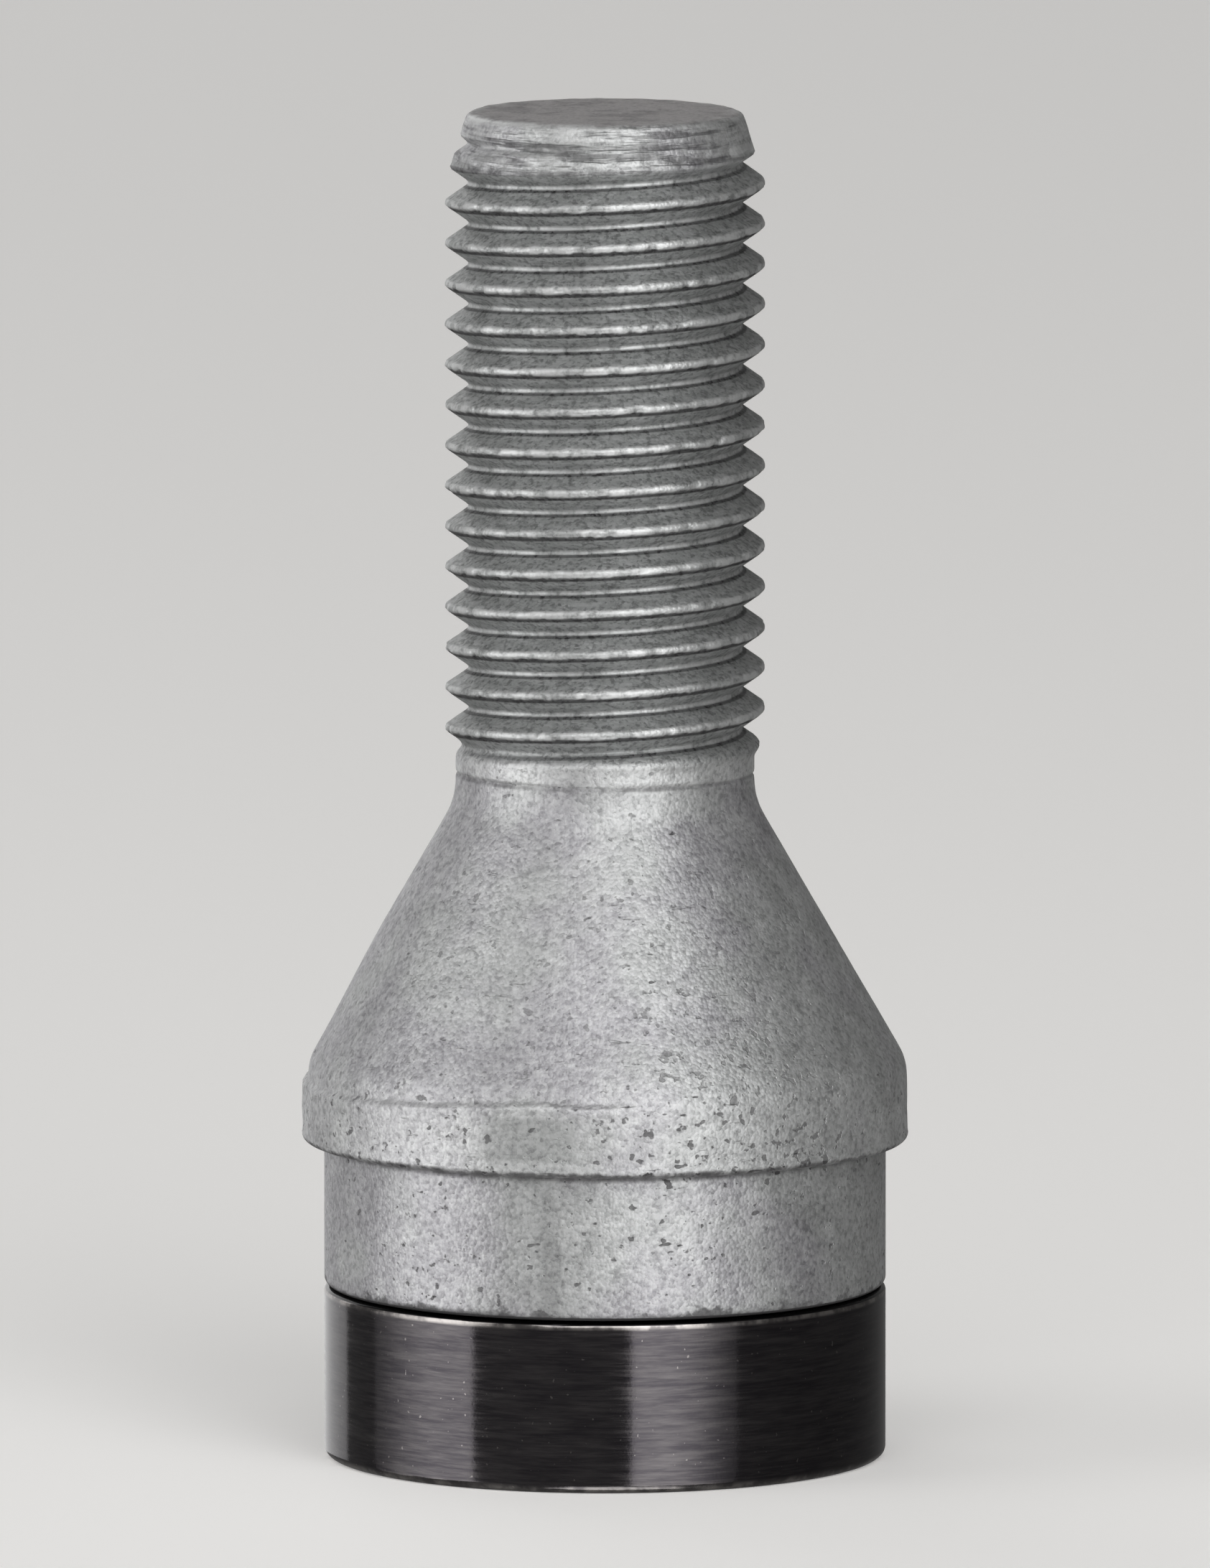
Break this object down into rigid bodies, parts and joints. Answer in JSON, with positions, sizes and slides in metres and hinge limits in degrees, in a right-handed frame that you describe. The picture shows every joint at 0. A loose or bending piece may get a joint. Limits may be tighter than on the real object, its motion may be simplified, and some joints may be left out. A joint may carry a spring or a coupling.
{
  "type": "locking wheel bolt",
  "caption": "Locking wheel bolt with a threaded shank, cone seat, flanged round head and a black free-spinning collar round a wavy key boss.",
  "frame": {"origin": "centre of the collar's end face, which the bolt stands on", "axes": "+Z along the bolt's axis, from the head to the thread's tip"},
  "size_m": [0.0225, 0.0224, 0.05],
  "materials": {
    "zinc_flake": "matt silver-grey zinc-flake coating over forged steel",
    "black_chrome": "glossy black, finely turned"
  },
  "bodies": {
    "bolt": {"bolt": "zinc_flake"},
    "collar": {"collar": "black_chrome"}
  },
  "joints": [
    {"name": "collar_spin", "type": "hinge", "parent": "bolt", "child": "collar", "pos_m": [0, 0, 0.0032], "axis": [0, 0, 1], "continuous": true}
  ]
}
